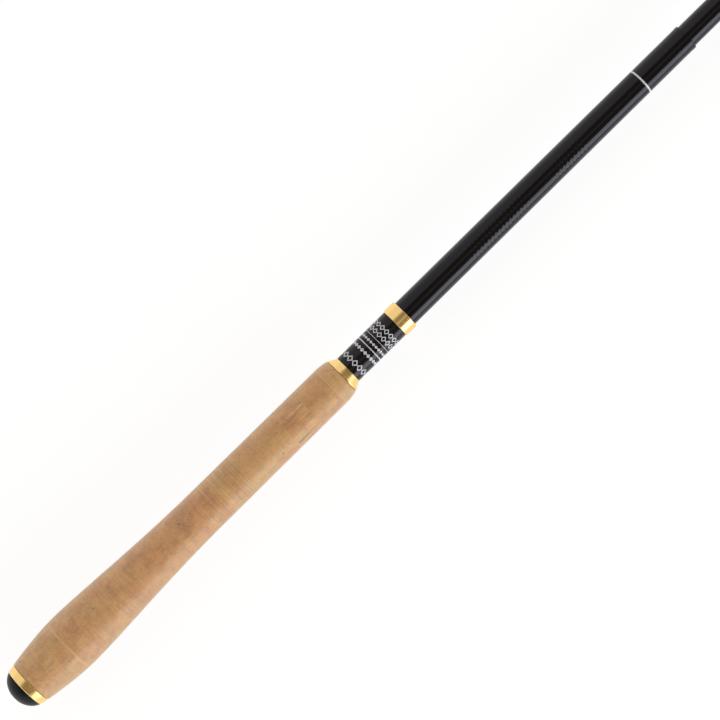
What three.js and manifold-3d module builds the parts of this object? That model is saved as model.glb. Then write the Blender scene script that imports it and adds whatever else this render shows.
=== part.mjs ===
// A tenkara rod: a telescopic fly rod with a cork grip and no reel, in millimetres.
// It lies along X with its butt at the low end. Z is up, and the origin is under the middle.
// At rest the second section is drawn out and locked, and the thinner ones are stowed inside it.
import * as THREE from 'three';
import { mergeVertices } from 'three/addons/utils/BufferGeometryUtils.js';
import Module from 'manifold-3d';

// Every round piece has this many flat sides, with a side facing straight down.
const facets = 24;

// Fits that several pieces share.
const fitGap = 0.04; // a section and the one that it locks in
const glueLine = 0.1; // two pieces glued together
const seatGap = 0.1; // two faces that a screw pulls together
const stowGap = 0.3; // the stowed sections and the cushion behind them
const cutOverrun = 1; // how far a cutter runs past what it cuts

// The butt cap's dome is part of an ellipse, cut flat at its end.
const domeLength = 5.6;
const domeDepth = 8.2;
const domeStep = 0.15; // how much fuller the ellipse is than the butt ring's rear edge
const domeFlatRadius = 2.2;
const domeSteps = 7;
const coinSlotWidth = 1.6;
const coinSlotDepth = 1.5;

// The cap's spigot screws into the insert with a right-hand thread.
const spigotLength = 8.3;
const spigotRadius = 6.2;
const spigotChamfer = 0.4;
const threadPitch = 1.5;
const threadDepth = 0.65;
const threadCrestWidth = 0.35;
const threadRootWidth = 0.85;
const threadSideGap = 0.12;
const threadTopGap = 0.3;
const threadEngagement = 0.36; // how far the spigot's thread reaches past the insert's
const threadEndGap = 0.4;
const leadInShare = 0.5; // part of a turn over which the thread rises at each end

// The seal ring lies round the spigot, between the dome and the insert.
const sealThickness = 1.2;
const sealGap = 0.15;
const sealSteps = 10;

// The cushion is pressed into the spigot's end and stops the stowed sections.
const cushionRimWall = 0.8;
const cushionThickness = 2.5;
const cushionRecess = 1;
const cushionChamfer = 0.3;

// The metal butt ring covers the rear end of the cork.
const buttRingLength = 3.9;
const buttRingRearWall = 1.5;
const buttRingFrontWall = 2.15;
const ringChamfer = 0.2;

// The threaded insert is glued into the first cork ring and over the blank's butt.
const insertWall = 0.8;
const insertLipLength = 1;
const insertLipGap = 0.45;

// The cork grip: a swell near the butt, then a slim fore grip with a rounded shoulder.
const gripLength = 181;
const corkRingLength = 12.7;
const rearRingLength = 9.1;
const gripButtStep = 0.05; // the cork stands this much proud of the butt ring
const swellRadius = 12.7;
const swellPlace = 25.6;
const slimPlace = 106.4;
const slimRadius = 9.62;
const foreGripRadius = 9.42;
const shoulderLength = 6.3;
const shoulderStep = 0.15; // and this much proud of the check
const swellFallShare = 0.75; // below 1 the grip falls away faster just ahead of the swell
const swellStep = 3.4;
const shoulderSteps = 4;

// The winding check closes the front end of the cork.
const checkLength = 3.9;
const checkRearWall = 2.33;
const checkFrontWall = 0.68;
const checkRimLength = 0.5;
const checkLipLength = 0.8;

// The sleeve ahead of the check, and the broad ring that ends it.
const sleeveLength = 27.2;
const sleeveWall = 0.4;
const trimRingLength = 5.9;
const trimRingWall = 0.85;

// The handle section, or blank, which the second section locks in.
const handleMouth = 393.5; // from the flat of the butt cap
const handleWall = 0.58;
const mouthRecess = 7.5; // how deep the second section's end stows inside the handle
const mouthBeadHeight = 0.08;
const mouthBeadLength = 2;

// The sections, numbered from the handle, which is the first.
const sectionCount = 10;
const secondSectionRadius = 5.32; // where it leaves the handle
const tipSectionRadius = 0.62; // where it leaves the ninth section
const secondSectionWall = 0.45;
const lastTubeWall = 0.2;
const firstOverlap = 32;
const lastOverlap = 20;
const lengthStep = 0.6; // each section is a little longer than the one that it stows in

// The socket on the tip, in which the line's cord is glued.
const tipSocketLength = 5;
const tipSocketReach = 2;
const tipSocketWall = 0.15;
const tipSocketGap = 0.03;

// Places along the rod, measured from the flat of the butt cap.
const buttRingRear = domeLength + seatGap;
const gripRear = buttRingRear + buttRingLength;
const gripFront = gripRear + gripLength;
const firstJoint = gripRear + rearRingLength;
const insertRear = domeLength + sealThickness + 2 * sealGap;
const spigotFront = domeLength + spigotLength;
const cushionRear = spigotFront - cushionRecess + glueLine;
const cushionFront = cushionRear + cushionThickness;
const checkRear = gripFront + glueLine;
const sleeveRear = checkRear + checkLength + glueLine;
const trimRingRear = sleeveRear + sleeveLength + glueLine;
const stowedButt = cushionFront + stowGap;

// One straight cone rules the sections' walls: each locks in the one before it with an even gap.
const secondSectionLength = handleMouth - mouthRecess - stowedButt;

function sectionLength(number) {
  return secondSectionLength + lengthStep * (number - 2);
}

function sectionShare(number) {
  return (number - 2) / (sectionCount - 2);
}

function sectionOverlap(number) {
  return THREE.MathUtils.lerp(firstOverlap, lastOverlap, sectionShare(number));
}

function sectionWall(number) {
  const share = (number - 2) / (sectionCount - 3);
  return THREE.MathUtils.lerp(secondSectionWall, lastTubeWall, share);
}

function taperSlope() {
  let walls = 0;
  let reach = 0;
  for (let number = 2; number < sectionCount; number += 1) {
    walls += sectionWall(number) + fitGap;
    reach += sectionLength(number) - sectionOverlap(number);
  }
  return (secondSectionRadius - tipSectionRadius - walls) / reach;
}

const slope = taperSlope();

// The outer radius of a section where it leaves the one before it.
function exitRadius(number) {
  let radius = secondSectionRadius;
  for (let earlier = 2; earlier < number; earlier += 1) {
    const drop = slope * (sectionLength(earlier) - sectionOverlap(earlier));
    radius -= drop + sectionWall(earlier) + fitGap;
  }
  return radius;
}

// The butt of every section at rest: the second is locked, and the others stow level with it.
const restButt = handleMouth - firstOverlap;
const lastEnd = restButt + sectionLength(sectionCount);
const overallLength = lastEnd + tipSocketReach;

// The handle is a cone of one wall, and what sits round it takes its radius from here.
function handleRadius(place) {
  return secondSectionRadius + fitGap + handleWall + slope * (handleMouth - place);
}

function handleBore(place) {
  return handleRadius(place) - handleWall;
}

const boreRadius = spigotRadius + threadDepth - threadEngagement;
const grooveRadius = spigotRadius + threadDepth + threadTopGap;
const insertRadius = grooveRadius + insertWall;
const cushionRadius = spigotRadius - cushionRimWall - glueLine;
const insertLipRadius = cushionRadius + insertLipGap;
const insertFront = firstJoint;
const lipRear = spigotFront + threadEndGap;
const blankButt = lipRear + insertLipLength + glueLine;

// The rings at the cork's ends fit what they go round, and the dome and the cork follow them.
const buttRingBore = insertRadius + glueLine;
const buttRingRearRadius = buttRingBore + buttRingRearWall;
const buttRingFrontRadius = buttRingBore + buttRingFrontWall;
const domeRadius = buttRingRearRadius + domeStep;
const gripButtRadius = buttRingFrontRadius + gripButtStep;
const checkBore = handleRadius(checkRear) + glueLine;
const checkRearRadius = checkBore + checkRearWall;
const checkFrontRadius = checkBore + checkFrontWall;
const shoulderRadius = checkRearRadius + shoulderStep;

// The outline of the cork, from the butt ring to the check.
function gripRadius(place) {
  const along = place - gripRear;
  const shoulderStart = gripLength - shoulderLength;
  if (along < swellPlace) {
    const rise = Math.sin((along / swellPlace) * Math.PI / 2);
    return THREE.MathUtils.lerp(gripButtRadius, swellRadius, rise);
  }
  if (along < slimPlace) {
    const share = ((along - swellPlace) / (slimPlace - swellPlace)) ** swellFallShare;
    const fall = (1 - Math.cos(share * Math.PI)) / 2;
    return THREE.MathUtils.lerp(swellRadius, slimRadius, fall);
  }
  if (along < shoulderStart) {
    const share = (along - slimPlace) / (shoulderStart - slimPlace);
    return THREE.MathUtils.lerp(slimRadius, foreGripRadius, share);
  }
  const turn = Math.min(1, (along - shoulderStart) / shoulderLength);
  return THREE.MathUtils.lerp(foreGripRadius, shoulderRadius, turn * turn);
}

// Each material is what the real piece is made of.
function finish(color, roughness, metalness) {
  return new THREE.MeshStandardMaterial({ color, roughness, metalness });
}

const materials = {
  blackCap: () => finish(0x202124, 0.35, 0),
  goldMetal: () => finish(0xd9b36a, 0.25, 1),
  silverMetal: () => finish(0xb9bcc0, 0.3, 1),
  cork: () => finish(0xb98c62, 0.85, 0),
  blackLacquer: () => finish(0x18181b, 0.15, 0),
  rubber: () => finish(0x1a1a1a, 0.8, 0),
  foam: () => finish(0x3a3a3c, 0.9, 0),
};

// Corners stand out a little, so that the flat sides touch the true round.
const cornerShare = 1 / Math.cos(Math.PI / facets);

// Turns an outline of [place, radius] points about X. It runs forward along the outside
// and back along the bore, or starts and ends on the axis.
function turned(outline, closed = true) {
  const points = outline.map(([place, radius]) => new THREE.Vector2(radius * cornerShare, place));
  if (closed) {
    points.push(points[0].clone());
  }
  const geometry = new THREE.LatheGeometry(points, facets, Math.PI / facets);
  geometry.rotateZ(-Math.PI / 2);
  return geometry;
}

// A plain tube or ring between two places.
function tube(rear, front, outer, inner) {
  return turned([[rear, outer], [front, outer], [front, inner], [rear, inner]]);
}

const wasm = await Module();
wasm.setup();

function solidOf(geometry) {
  const bare = geometry.clone();
  bare.deleteAttribute('normal');
  bare.deleteAttribute('uv');
  const merged = mergeVertices(bare);
  const corners = merged.index.array;
  const kept = [];
  for (let start = 0; start < corners.length; start += 3) {
    const [a, b, c] = corners.slice(start, start + 3);
    if (a !== b && b !== c && c !== a) {
      kept.push(a, b, c);
    }
  }
  return new wasm.Manifold(new wasm.Mesh({
    numProp: 3,
    vertProperties: new Float32Array(merged.attributes.position.array),
    triVerts: new Uint32Array(kept),
  }));
}

function geometryOf(solid) {
  const mesh = solid.getMesh();
  const geometry = new THREE.BufferGeometry();
  geometry.setAttribute('position', new THREE.BufferAttribute(mesh.vertProperties, mesh.numProp));
  geometry.setIndex(new THREE.BufferAttribute(mesh.triVerts, 1));
  return geometry;
}

// A ridge wound about X as a right-hand helix. Its root and crest are given as radius and width.
function helicalRidge(start, end, root, crest) {
  const steps = Math.floor((end - start) / threadPitch * facets);
  const leadSteps = Math.max(1, Math.round(leadInShare * facets));
  const positions = [];
  for (let step = 0; step <= steps; step += 1) {
    const angle = ((step + 0.5) / facets) * 2 * Math.PI;
    const place = start + (step / facets) * threadPitch;
    const rise = Math.min(1, step / leadSteps, (steps - step) / leadSteps);
    const crestNow = THREE.MathUtils.lerp(root.radius + root.sink, crest.radius, rise);
    const corners = [
      [-root.width / 2, root.radius],
      [root.width / 2, root.radius],
      [crest.width / 2, crestNow],
      [-crest.width / 2, crestNow],
    ];
    for (const [offset, radius] of corners) {
      const reach = radius * cornerShare;
      positions.push(place + offset, reach * Math.cos(angle), reach * Math.sin(angle));
    }
  }
  const index = [];
  for (let step = 0; step < steps; step += 1) {
    for (let side = 0; side < 4; side += 1) {
      const near = step * 4 + side;
      const nearNext = step * 4 + (side + 1) % 4;
      index.push(near, nearNext, near + 4, nearNext, nearNext + 4, near + 4);
    }
  }
  const last = steps * 4;
  index.push(0, 2, 1, 0, 3, 2);
  index.push(last, last + 1, last + 2, last, last + 2, last + 3);
  const geometry = new THREE.BufferGeometry();
  geometry.setAttribute('position', new THREE.Float32BufferAttribute(positions, 3));
  geometry.setIndex(index);
  return geometry;
}

// Both threads start on one helix, a whole number of turns apart.
const threadSink = threadDepth / 2;
const threadStart = insertRear + threadRootWidth;
const threadFront = spigotFront - spigotChamfer - threadRootWidth / 2;

function spigotThread() {
  const root = { radius: spigotRadius - threadSink, width: threadRootWidth, sink: threadSink };
  const crest = { radius: spigotRadius + threadDepth, width: threadCrestWidth };
  return helicalRidge(threadStart, threadFront, root, crest);
}

function insertThread() {
  const behind = threadStart - insertRear + cutOverrun;
  const turnsBehind = Math.ceil(behind / threadPitch + leadInShare);
  const start = threadStart - turnsBehind * threadPitch;
  const end = lipRear - threadRootWidth / 2 - 2 * threadSideGap;
  const gap = 2 * threadSideGap;
  const root = { radius: boreRadius - threadSink, width: threadRootWidth + gap, sink: 0 };
  const crest = { radius: grooveRadius, width: threadCrestWidth + gap };
  return helicalRidge(start, end, root, crest);
}

function coinSlot() {
  const length = 2 * (domeRadius + cutOverrun);
  const depth = coinSlotDepth + cutOverrun;
  const box = new THREE.BoxGeometry(depth, length, coinSlotWidth);
  box.translate(coinSlotDepth - depth / 2, 0, 0);
  return box;
}

function buttCap() {
  const middle = domeDepth * Math.sqrt(1 - (domeFlatRadius / domeRadius) ** 2);
  const first = Math.asin(domeFlatRadius / domeRadius);
  const last = Math.acos((middle - domeLength) / domeDepth);
  const outline = [[0, 0]];
  for (let step = 0; step <= domeSteps; step += 1) {
    const angle = THREE.MathUtils.lerp(first, last, step / domeSteps);
    outline.push([middle - domeDepth * Math.cos(angle), domeRadius * Math.sin(angle)]);
  }
  outline[1][0] = 0;
  outline[outline.length - 1][0] = domeLength;
  const recessFloor = spigotFront - cushionRecess;
  outline.push(
    [domeLength, spigotRadius],
    [spigotFront - spigotChamfer, spigotRadius],
    [spigotFront, spigotRadius - spigotChamfer],
    [spigotFront, cushionRadius + glueLine],
    [recessFloor, cushionRadius + glueLine],
    [recessFloor, 0],
  );
  const body = solidOf(turned(outline, false));
  return geometryOf(body.add(solidOf(spigotThread())).subtract(solidOf(coinSlot())));
}

function capSeal() {
  const radius = sealThickness / 2;
  const middle = spigotRadius + sealGap + radius;
  const place = domeLength + sealGap + radius;
  const outline = [];
  for (let step = 0; step < sealSteps; step += 1) {
    const angle = (step / sealSteps) * 2 * Math.PI;
    outline.push([place + radius * Math.sin(angle), middle + radius * Math.cos(angle)]);
  }
  return turned(outline);
}

function capCushion() {
  return turned([
    [cushionRear, 0],
    [cushionRear, cushionRadius],
    [cushionFront - cushionChamfer, cushionRadius],
    [cushionFront, cushionRadius - cushionChamfer],
    [cushionFront, 0],
  ], false);
}

function buttRing() {
  return turned([
    [buttRingRear, buttRingRearRadius - ringChamfer],
    [buttRingRear + ringChamfer, buttRingRearRadius],
    [gripRear - ringChamfer, buttRingFrontRadius],
    [gripRear, buttRingFrontRadius - ringChamfer],
    [gripRear, buttRingBore],
    [buttRingRear, buttRingBore],
  ]);
}

function threadInsert() {
  const socket = handleRadius(blankButt) + glueLine;
  const body = solidOf(turned([
    [insertRear, insertRadius],
    [insertFront - glueLine, insertRadius],
    [insertFront - glueLine, socket],
    [blankButt - glueLine, socket],
    [blankButt - glueLine, insertLipRadius],
    [lipRear, insertLipRadius],
    [lipRear, boreRadius],
    [insertRear, boreRadius],
  ]));
  return geometryOf(body.subtract(solidOf(insertThread())));
}

// The places where the cork's outline needs a point between two joints.
function gripStations(rear, front) {
  const crest = gripRear + swellPlace;
  const shoulderStart = gripFront - shoulderLength;
  const steps = Math.ceil((front - rear) / swellStep);
  const stations = [crest];
  for (let step = 1; step < steps; step += 1) {
    const place = THREE.MathUtils.lerp(rear, front, step / steps);
    const curved = place < gripRear + slimPlace;
    const nearCrest = Math.abs(place - crest) < swellStep / 2;
    if (curved && !nearCrest) {
      stations.push(place);
    }
  }
  for (let step = 0; step < shoulderSteps; step += 1) {
    stations.push(shoulderStart + shoulderLength * (step / shoulderSteps));
  }
  const between = stations.filter((place) => place > rear + glueLine && place < front - glueLine);
  return [rear, ...between.sort((a, b) => a - b), front];
}

function corkRing(rear, front) {
  const outline = gripStations(rear, front).map((place) => [place, gripRadius(place)]);
  const housesInsert = front <= firstJoint;
  const round = (place) => (housesInsert ? insertRadius : handleRadius(place)) + glueLine;
  outline.push([front, round(front)], [rear, round(rear)]);
  return turned(outline);
}

// The cork is glued up from whole rings, with a shortened one at each end. The shoulder
// is turned on the last.
function corkJoints() {
  const joints = [gripRear, firstJoint];
  while (joints[joints.length - 1] + corkRingLength + shoulderLength < gripFront) {
    joints.push(joints[joints.length - 1] + corkRingLength);
  }
  joints.push(gripFront);
  return joints;
}

function frontCheck() {
  const front = checkRear + checkLength;
  return turned([
    [checkRear, checkRearRadius - ringChamfer],
    [checkRear + ringChamfer, checkRearRadius],
    [checkRear + checkRimLength, checkRearRadius],
    [front - checkLipLength, checkFrontRadius],
    [front, checkFrontRadius - ringChamfer],
    [front, checkBore],
    [checkRear, checkBore],
  ]);
}

function labelSleeve() {
  const front = sleeveRear + sleeveLength;
  const bore = handleRadius(sleeveRear) + glueLine;
  return tube(sleeveRear, front, bore + sleeveWall, bore);
}

function trimRing() {
  const front = trimRingRear + trimRingLength;
  const bore = handleRadius(trimRingRear) + glueLine;
  const outer = bore + trimRingWall;
  return turned([
    [trimRingRear, outer - ringChamfer],
    [trimRingRear + ringChamfer, outer],
    [front - ringChamfer, outer],
    [front, outer - ringChamfer],
    [front, bore],
    [trimRingRear, bore],
  ]);
}

// The blank ends in a slight bead of lacquer round its mouth.
function handleBlank() {
  const beadRear = handleMouth - mouthBeadLength;
  const beadMiddle = handleMouth - mouthBeadLength / 2;
  return turned([
    [blankButt, handleRadius(blankButt)],
    [beadRear, handleRadius(beadRear)],
    [beadMiddle, handleRadius(beadMiddle) + mouthBeadHeight],
    [handleMouth, handleRadius(handleMouth)],
    [handleMouth, handleBore(handleMouth)],
    [blankButt, handleBore(blankButt)],
  ]);
}

// A section as it lies at rest. The last one is solid, and the others are tubes.
function section(number) {
  const length = sectionLength(number);
  const front = restButt + length;
  const exit = exitRadius(number);
  const butt = exit + slope * sectionOverlap(number);
  const mouth = butt - slope * length;
  if (number === sectionCount) {
    return turned([[restButt, 0], [restButt, butt], [front, mouth], [front, 0]], false);
  }
  const wall = sectionWall(number);
  return turned([[restButt, butt], [front, mouth], [front, mouth - wall], [restButt, butt - wall]]);
}

function tipSocket() {
  const rear = lastEnd + tipSocketReach - tipSocketLength;
  const overlap = sectionOverlap(sectionCount);
  const tip = exitRadius(sectionCount) - slope * (rear - restButt - overlap);
  const bore = tip + tipSocketGap;
  return tube(rear, rear + tipSocketLength, bore + tipSocketWall, bore);
}

const rod = new THREE.Group();
rod.position.set(-overallLength / 2, 0, swellRadius);

function addPiece(name, geometry, material) {
  const mesh = new THREE.Mesh(geometry, material);
  mesh.name = name;
  rod.add(mesh);
}

function twoDigits(number) {
  return String(number).padStart(2, '0');
}

addPiece('butt_cap', buttCap(), materials.blackCap());
addPiece('cap_seal', capSeal(), materials.rubber());
addPiece('cap_cushion', capCushion(), materials.foam());
addPiece('butt_ring', buttRing(), materials.goldMetal());
addPiece('thread_insert', threadInsert(), materials.silverMetal());

const joints = corkJoints();
for (let ring = 1; ring < joints.length; ring += 1) {
  const rear = joints[ring - 1] + (ring === 1 ? glueLine : glueLine / 2);
  const front = joints[ring] - (ring === joints.length - 1 ? 0 : glueLine / 2);
  addPiece(`cork_ring_${twoDigits(ring)}`, corkRing(rear, front), materials.cork());
}

addPiece('front_check', frontCheck(), materials.goldMetal());
addPiece('label_sleeve', labelSleeve(), materials.blackLacquer());
addPiece('trim_ring', trimRing(), materials.goldMetal());
addPiece('handle_blank', handleBlank(), materials.blackLacquer());

for (let number = 2; number <= sectionCount; number += 1) {
  addPiece(`section_${twoDigits(number)}`, section(number), materials.blackLacquer());
}
addPiece('tip_socket', tipSocket(), materials.silverMetal());

const group = new THREE.Group();
group.add(rod);

export default group;
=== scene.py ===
"""The looks of a telescopic tenkara rod with a cork grip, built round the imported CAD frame.

Places and radii are in millimetres, as in the CAD. A place is measured along the rod from the
flat of the butt cap, and the rod lies along X with its axis one swell radius above the floor.
"""
import math
import random

import bpy
from mathutils import Matrix, Vector, noise


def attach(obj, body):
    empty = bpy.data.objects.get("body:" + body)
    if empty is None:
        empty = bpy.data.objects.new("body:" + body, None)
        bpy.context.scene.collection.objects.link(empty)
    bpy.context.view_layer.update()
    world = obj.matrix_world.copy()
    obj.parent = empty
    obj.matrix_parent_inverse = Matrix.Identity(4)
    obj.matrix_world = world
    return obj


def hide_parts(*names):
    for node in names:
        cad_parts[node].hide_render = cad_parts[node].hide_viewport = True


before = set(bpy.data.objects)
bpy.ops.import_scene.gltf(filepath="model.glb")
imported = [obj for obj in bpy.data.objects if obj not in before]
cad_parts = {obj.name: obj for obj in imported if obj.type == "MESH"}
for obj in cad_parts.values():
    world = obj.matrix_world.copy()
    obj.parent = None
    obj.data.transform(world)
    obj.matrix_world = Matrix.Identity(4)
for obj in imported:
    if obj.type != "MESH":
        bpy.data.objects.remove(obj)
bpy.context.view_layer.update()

scene = bpy.context.scene

MM = 0.001
FULL_TURN = 2 * math.pi

# The rod's places and radii, as part.mjs has them.
OVERALL_LENGTH = 738.5
AXIS_HEIGHT = 12.7

DOME_LENGTH = 5.6
DOME_DEPTH = 8.2
DOME_RADIUS = 9.7
DOME_FLAT_RADIUS = 2.2
COIN_SLOT_WIDTH = 1.6
COIN_SLOT_DEPTH = 1.5

SPIGOT_FRONT = 13.9
SPIGOT_RADIUS = 6.2
SPIGOT_CHAMFER = 0.4
CUSHION_SEAT_DEPTH = 1
CUSHION_REAR = 13.0
CUSHION_FRONT = 15.5
CUSHION_RADIUS = 5.3
CUSHION_SEAT_RADIUS = 5.4

THREAD_PITCH = 1.5
THREAD_DEPTH = 0.65
THREAD_CREST_WIDTH = 0.35
THREAD_ROOT_WIDTH = 0.85
THREAD_START = 7.95
THREAD_FRONT = 13.075
THREAD_SIDE_GAP = 0.12
THREAD_PHASE_SHARE = 1 / 48
THREAD_LEAD_SHARE = 0.5

SEAL_PLACE = 6.35
SEAL_MIDDLE = 6.95
SEAL_WIRE_RADIUS = 0.6

BUTT_RING_REAR = 5.7
BUTT_RING_FRONT = 9.6
BUTT_RING_BORE = 8.05
BUTT_RING_REAR_RADIUS = 9.55
BUTT_RING_FRONT_RADIUS = 10.2
BUTT_RING_CHAMFER = 0.35

INSERT_REAR = 7.1
INSERT_FRONT = 18.6
INSERT_RADIUS = 7.95
INSERT_BORE = 6.49
INSERT_GROOVE = 7.15
INSERT_LIP_REAR = 14.3
INSERT_LIP_FRONT = 15.3
INSERT_LIP_RADIUS = 5.75

GRIP_REAR = 9.6
GRIP_LENGTH = 181
GRIP_FRONT = GRIP_REAR + GRIP_LENGTH
FIRST_JOINT = 18.7
CORK_RING_LENGTH = 12.7
CORK_RING_COUNT = 15
GRIP_BUTT_RADIUS = 10.25
SWELL_RADIUS = 12.7
SWELL_PLACE = 25.6
SLIM_PLACE = 106.4
SLIM_RADIUS = 9.62
FORE_GRIP_RADIUS = 9.42
SHOULDER_LENGTH = 6.3
SHOULDER_RADIUS = 8.65
SWELL_FALL_SHARE = 0.75

CHECK_REAR = 190.7
CHECK_FRONT = 194.6
CHECK_REAR_RADIUS = 8.5
CHECK_FRONT_RADIUS = 6.85
CHECK_RIM_LENGTH = 0.5
CHECK_LIP_LENGTH = 0.8

SLEEVE_REAR = 194.7
SLEEVE_FRONT = 221.9
SLEEVE_RADIUS = 6.57
SLEEVE_BORE = 6.17

TRIM_RING_REAR = 222.0
TRIM_RING_FRONT = 227.9
TRIM_RING_RADIUS = 7.0
TRIM_RING_BORE = 6.15

# The chamfer of the winding check and the trim ring.
RING_CHAMFER = 0.2

HANDLE_BUTT = 15.4
HANDLE_MOUTH = 393.5
HANDLE_MOUTH_RADIUS = 5.94
HANDLE_WALL = 0.58
MOUTH_BEAD_LENGTH = 2
MOUTH_BEAD_HEIGHT = 0.08
PAINTED_BAND_REAR = 366.2
PAINTED_BAND_FRONT = 367.0

# One straight cone rules every blank's taper.
SLOPE = 0.000643901

FIRST_SECTION_NUMBER = 2
FIRST_SECTION_MOUTH = 731.7
SECTION_BUTT = 361.5
SECTION_STEP = 0.6
# Outer radius at the butt, outer radius at the mouth, and wall, from the second section on.
SECTION_EXIT_RADII = (5.32, 4.612, 3.939, 3.300, 2.695, 2.125, 1.589, 1.087, 0.62)
SECTION_WALLS = (0.45, 0.414, 0.379, 0.343, 0.307, 0.271, 0.236, 0.2)
SECTION_OVERLAPS = (32, 30.5, 29, 27.5, 26, 24.5, 23, 21.5, 20)
SECTION_BODIES = (
    "second", "third", "fourth", "fifth", "sixth", "seventh", "eighth", "ninth", "tip",
)

SOCKET_REAR = 733.5
SOCKET_FRONT = 738.5
SOCKET_WALL = 0.15
SOCKET_GAP = 0.03

# How finely the pieces are turned. The first few sections have as many sides as the blank.
GRIP_SIDES = 176
RING_SIDES = 128
BLANK_SIDES = 72
BROAD_SECTION_COUNT = 4
THIN_SIDES = 40
DOME_FLAT_SHARES = (0, 0.5, 0.9)
DOME_STEP = math.radians(3)
THREAD_ROW = 0.05
CUSHION_ROW = 0.4
CORK_ROW = 0.4
TUBE_ROW = 6.0
SECTION_ROW = 25.0
SEAL_STEPS = 24
BEAD_STEPS = 8

# A corner that turns by more than this is rounded, over at most this share of its two sides.
SOFTENED_TURN = math.radians(25)
SOFTENED_STEPS = 3
SOFTENED_SIDE_SHARE = 0.4

# From these angles on, an edge is shaded as a sharp one.
SHARP_ANGLE = math.radians(38)
CUT_SHARP_ANGLE = math.radians(24)

# Radii that differ by less than this count as the same.
SAME_RADIUS = 0.01

# Small shapes that the looks need.
EDGE_ROUND = 0.12
METAL_ROUND = 0.1
SECTION_ROUND = 0.06
SLOT_ROUND = 0.25
SLOT_CUTTER_MARGIN = 1
GLUE_GAP = 0.1
JOINT_GAP = 0.02
CUSHION_WAIST = 0.06
CUSHION_CROWN = 0.2
CUSHION_REAR_BEVEL = 0.15
CUSHION_FRONT_BEVEL_LENGTH = 0.3
CUSHION_FRONT_BEVEL_DEPTH = 0.25
PAINT_THICKNESS = 0.02
SOCKET_GROOVES = (734.6, 735.4)
GROOVE_HALF_WIDTH = 0.2
GROOVE_FLOOR_HALF_WIDTH = 0.08
GROOVE_DEPTH = 0.05

# The cork's own marks. Each ring has its tone from pinkish to greenish tan, its shade, its
# growth lines and its lengthwise streaks, as shares.
CORK_LOOK_SHARES = (
    (0.60, 0.62, 0.15, 0.15), (0.52, 0.62, 0.15, 0.30), (0.40, 0.70, 0.25, 0.10),
    (0.58, 0.60, 0.15, 0.05), (0.45, 0.65, 0.25, 0.05), (0.42, 0.70, 0.20, 0.10),
    (0.43, 0.62, 0.10, 0.15), (0.35, 0.85, 0.10, 0.20), (0.30, 0.75, 0.35, 0.05),
    (0.57, 0.45, 0.50, 0.10), (0.60, 0.38, 0.15, 0.15), (0.55, 0.25, 0.15, 0.05),
    (0.45, 0.60, 0.05, 1.00), (0.48, 0.68, 0.05, 0.10), (0.70, 0.02, 0.35, 0.05),
)
CORK_EDGE_LENGTH = 0.15
CORK_EDGE_DROP = 0.07
CORK_UNEVENNESS = 0.05
CORK_UNEVEN_LENGTH = 9
# Each ring's patterns are moved by a random length between these, so that no two are alike.
CORK_SHIFTS = (0, 500)
FAINT_GLUE_WIDTH = 0.5
FAINT_GLUE_SHARE = 0.35
# Pale lines that stand out: place, half width and strength. The first is the glue of a joint.
PALE_LINES = [
    (31.4, 1.0, 0.8), (63.3, 0.5, 0.6), (115.6, 0.6, 0.5), (121.1, 0.5, 0.6), (184.3, 0.6, 0.6),
]
# The small pits of each ring lie at random. A pit this deep has the pits' full colour.
PIT_SEED = 11
PITS_PER_RING = 5
PIT_LENGTHS = (0.3, 0.9)
PIT_WIDTHS = (0.3, 0.6)
PIT_DEPTHS = (0.05, 0.18)
DEEP_PIT = 0.2
# Pits that stand out: place, height round from the +Y side in degrees, length, width, depth.
PLAIN_PITS = (
    (12.7, 32, 1.1, 0.8, 0.22), (15.2, 68, 0.9, 0.7, 0.1), (13.9, 120, 0.8, 0.7, 0.1),
    (50.1, 73, 0.7, 0.6, 0.22), (59.2, 71, 0.7, 0.6, 0.15), (99.5, 68, 0.9, 0.8, 0.2),
    (127.4, 62, 0.5, 1.2, 0.15), (151.0, 128, 1.0, 0.5, 0.22), (148.0, 129, 0.9, 0.4, 0.15),
    (158.1, 60, 0.6, 0.6, 0.2), (170.2, 63, 0.6, 0.5, 0.2),
)

# The carbon tape under the lacquer crosses itself, and stands up a little. It is coarser than
# real, so that it shows. The strands that run under the others count for less.
TAPE_SPACING = 2.1
TAPE_STRANDS = 18
TAPE_UNDER_SHARE = 0.3
TAPE_RELIEF = 0.015
# The stretches of the rod where it shows: the middle and half the length. It stands up fully
# over this share of each.
TAPE_STRETCHES = ((281, 20), (322, 11), (610, 30))
TAPE_FULL_SHARE = 0.6

# Silver lines printed round the sleeve: place and width.
SLEEVE_LINES = ((207.1, 0.45), (211.6, 0.2))
# Rows of printed lozenges: place, half height, count round the rod, line share, turn.
SLEEVE_ROWS = (
    (198.4, 1.6, 14, 0.2, 0.0), (204.4, 0.9, 22, 0.4, 0.0), (209.3, 0.7, 26, 0.5, 0.0),
    (213.9, 1.35, 16, 0.2, 0.0), (216.9, 1.35, 16, 0.2, 0.5),
)
# How much of the print is left where it is worn most.
WORN_PRINT_SHARE = 0.6

FOAM_CELL_SIZE = 0.35

# A random grain mostly keeps between these two values, round the middle one.
GRAIN_LOW = 0.3
GRAIN_MIDDLE = 0.5
GRAIN_HIGH = 0.7
GRAIN_ROUGHNESS = 0.58

# The studio's light, as radiance round the rod.
FILL_LIGHT = 0.86
CEILING_LIGHT = 0.25
CEILING_COLOR = "#FFEBD2"
GLINT_LIGHT = 0.8
SOFTBOX_LIGHT = 4.1
SOFTBOX_END_LIGHT = 1.55
SOFTBOX_COLOR = "#F3F9FF"
# Where each light starts and stops, as angles from straight up, towards -Y.
CEILING_FROM = math.radians(-24)
GLINT_FROM = math.radians(10)
GLINT_TO = math.radians(18)
SOFTBOX_FROM = math.radians(56)
SOFTBOX_TO = math.radians(96)
LIGHT_EDGE = math.radians(2)
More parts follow.
